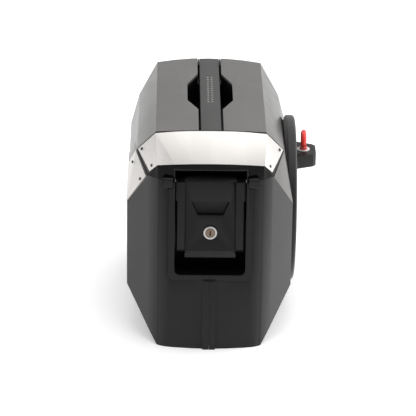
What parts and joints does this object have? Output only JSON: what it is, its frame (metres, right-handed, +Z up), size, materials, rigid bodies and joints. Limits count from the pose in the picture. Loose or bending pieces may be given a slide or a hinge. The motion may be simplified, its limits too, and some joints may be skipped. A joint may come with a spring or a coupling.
{
  "type": "garage door opener",
  "caption": "Side-mount roller garage door opener: boxy hooded casing with a carry handle, a key-locked release lever on the front and a big drive disc with a lug on its side.",
  "frame": {"origin": "middle of the base of the whole object's box", "axes": "+Z up, +Y from the front with the release lever to the back, +X to the side with the drive disc"},
  "size_m": [0.2508, 0.352, 0.2918],
  "materials": {
    "shell_black": "fine-textured black moulded plastic",
    "hood_gloss": "glossy black moulded plastic",
    "cover_grey": "satin dark grey moulded plastic",
    "trim_silver": "brushed silver sheet",
    "screw_dark": "dark screw heads",
    "lock_chrome": "polished chrome",
    "steel": "zinc plated steel",
    "disc_grey": "satin grey glass-filled plastic",
    "bush_white": "white acetal",
    "ring_red": "red moulded plastic",
    "bearing_bronze": "sintered bronze",
    "gear_nylon": "natural nylon",
    "core_dark": "varnished laminations",
    "coil_copper": "enamelled copper winding",
    "board_green": "green circuit board"
  },
  "bodies": {
    "casing": {"left_shell": "shell_black", "right_shell": "shell_black", "handle_well": "shell_black", "lever_well": "shell_black", "left_hinge_bracket": "shell_black", "right_hinge_bracket": "shell_black", "power_inlet": "shell_black", "terminal_cover": "shell_black", "motor_end_cap": "shell_black", "front_hood": "hood_gloss", "top_cover": "cover_grey", "carry_handle": "cover_grey", "hood_trim_plate": "trim_silver", "left_trim_plate": "trim_silver", "trim_screw_1": "screw_dark", "trim_screw_2": "screw_dark", "trim_screw_3": "screw_dark", "trim_screw_4": "screw_dark", "trim_screw_5": "screw_dark", "trim_screw_6": "screw_dark", "lever_hinge_pin": "steel", "axle_sleeve": "steel", "chassis_plate": "steel", "motor_can": "steel", "mount_plate": "steel", "mount_screw_1": "steel", "mount_screw_2": "steel", "mount_screw_3": "steel", "mount_screw_4": "steel", "inner_bearing": "bearing_bronze", "outer_bearing": "bearing_bronze", "transformer_core": "core_dark", "transformer_coil": "coil_copper", "control_board": "board_green"},
    "drive": {"drive_disc": "disc_grey", "drive_hub": "steel", "disc_screw_1": "steel", "disc_screw_2": "steel", "disc_screw_3": "steel", "disc_screw_4": "steel", "drive_lug": "disc_grey", "lug_bush": "bush_white", "main_gear": "gear_nylon"},
    "pull_ring": {"pull_ring": "ring_red"},
    "pinion_set": {"pinion": "steel", "pinion_shaft": "steel", "worm_wheel": "gear_nylon"},
    "worm": {"worm_shaft": "steel"},
    "encoder": {"encoder_gear": "gear_nylon", "encoder_shaft": "steel"},
    "lever": {"release_lever": "shell_black", "lock_body": "lock_chrome"},
    "lock": {"lock_cylinder": "lock_chrome", "lock_cam": "steel"},
    "slider": {"release_slider": "steel"}
  },
  "joints": [
    {"name": "drive_spin", "type": "hinge", "parent": "casing", "child": "drive", "pos_m": [0.00344, 0, 0.143], "axis": [1, 0, 0], "continuous": true},
    {"name": "pinion_spin", "type": "hinge", "parent": "casing", "child": "pinion_set", "pos_m": [0.00344, 0.06364, 0.07936], "axis": [1, 0, 0], "continuous": true},
    {"name": "worm_spin", "type": "hinge", "parent": "casing", "child": "worm", "pos_m": [0.01144, 0, 0.03786], "axis": [0, 1, 0], "continuous": true},
    {"name": "encoder_spin", "type": "hinge", "parent": "casing", "child": "encoder", "pos_m": [0.00344, -0.06364, 0.20664], "axis": [1, 0, 0], "continuous": true},
    {"name": "lever_swing", "type": "hinge", "parent": "casing", "child": "lever", "pos_m": [-0.01656, -0.155, 0.23], "axis": [-1, 0, 0], "range_deg": [0, 70]},
    {"name": "lock_turn", "type": "hinge", "parent": "lever", "child": "lock", "pos_m": [-0.01656, -0.16211, 0.16237], "axis": [0, -0.9945, 0.1045], "range_deg": [0, 90]},
    {"name": "slider_push", "type": "slide", "parent": "casing", "child": "slider", "axis": [0, 1, 0], "range_m": [0, 0.008]},
    {"name": "ring_pull", "type": "slide", "parent": "drive", "child": "pull_ring", "axis": [0, 0, 1], "range_m": [0, 0.012], "stiffness_N_per_m": 200}
  ],
  "couplings": [
    {"joint": "pinion_spin", "follows": "drive_spin", "ratio": -5},
    {"joint": "worm_spin", "follows": "drive_spin", "ratio": 50},
    {"joint": "encoder_spin", "follows": "drive_spin", "ratio": -5},
    {"joint": "slider_push", "follows": "lever_swing", "m_per_rad": 0.006546}
  ]
}
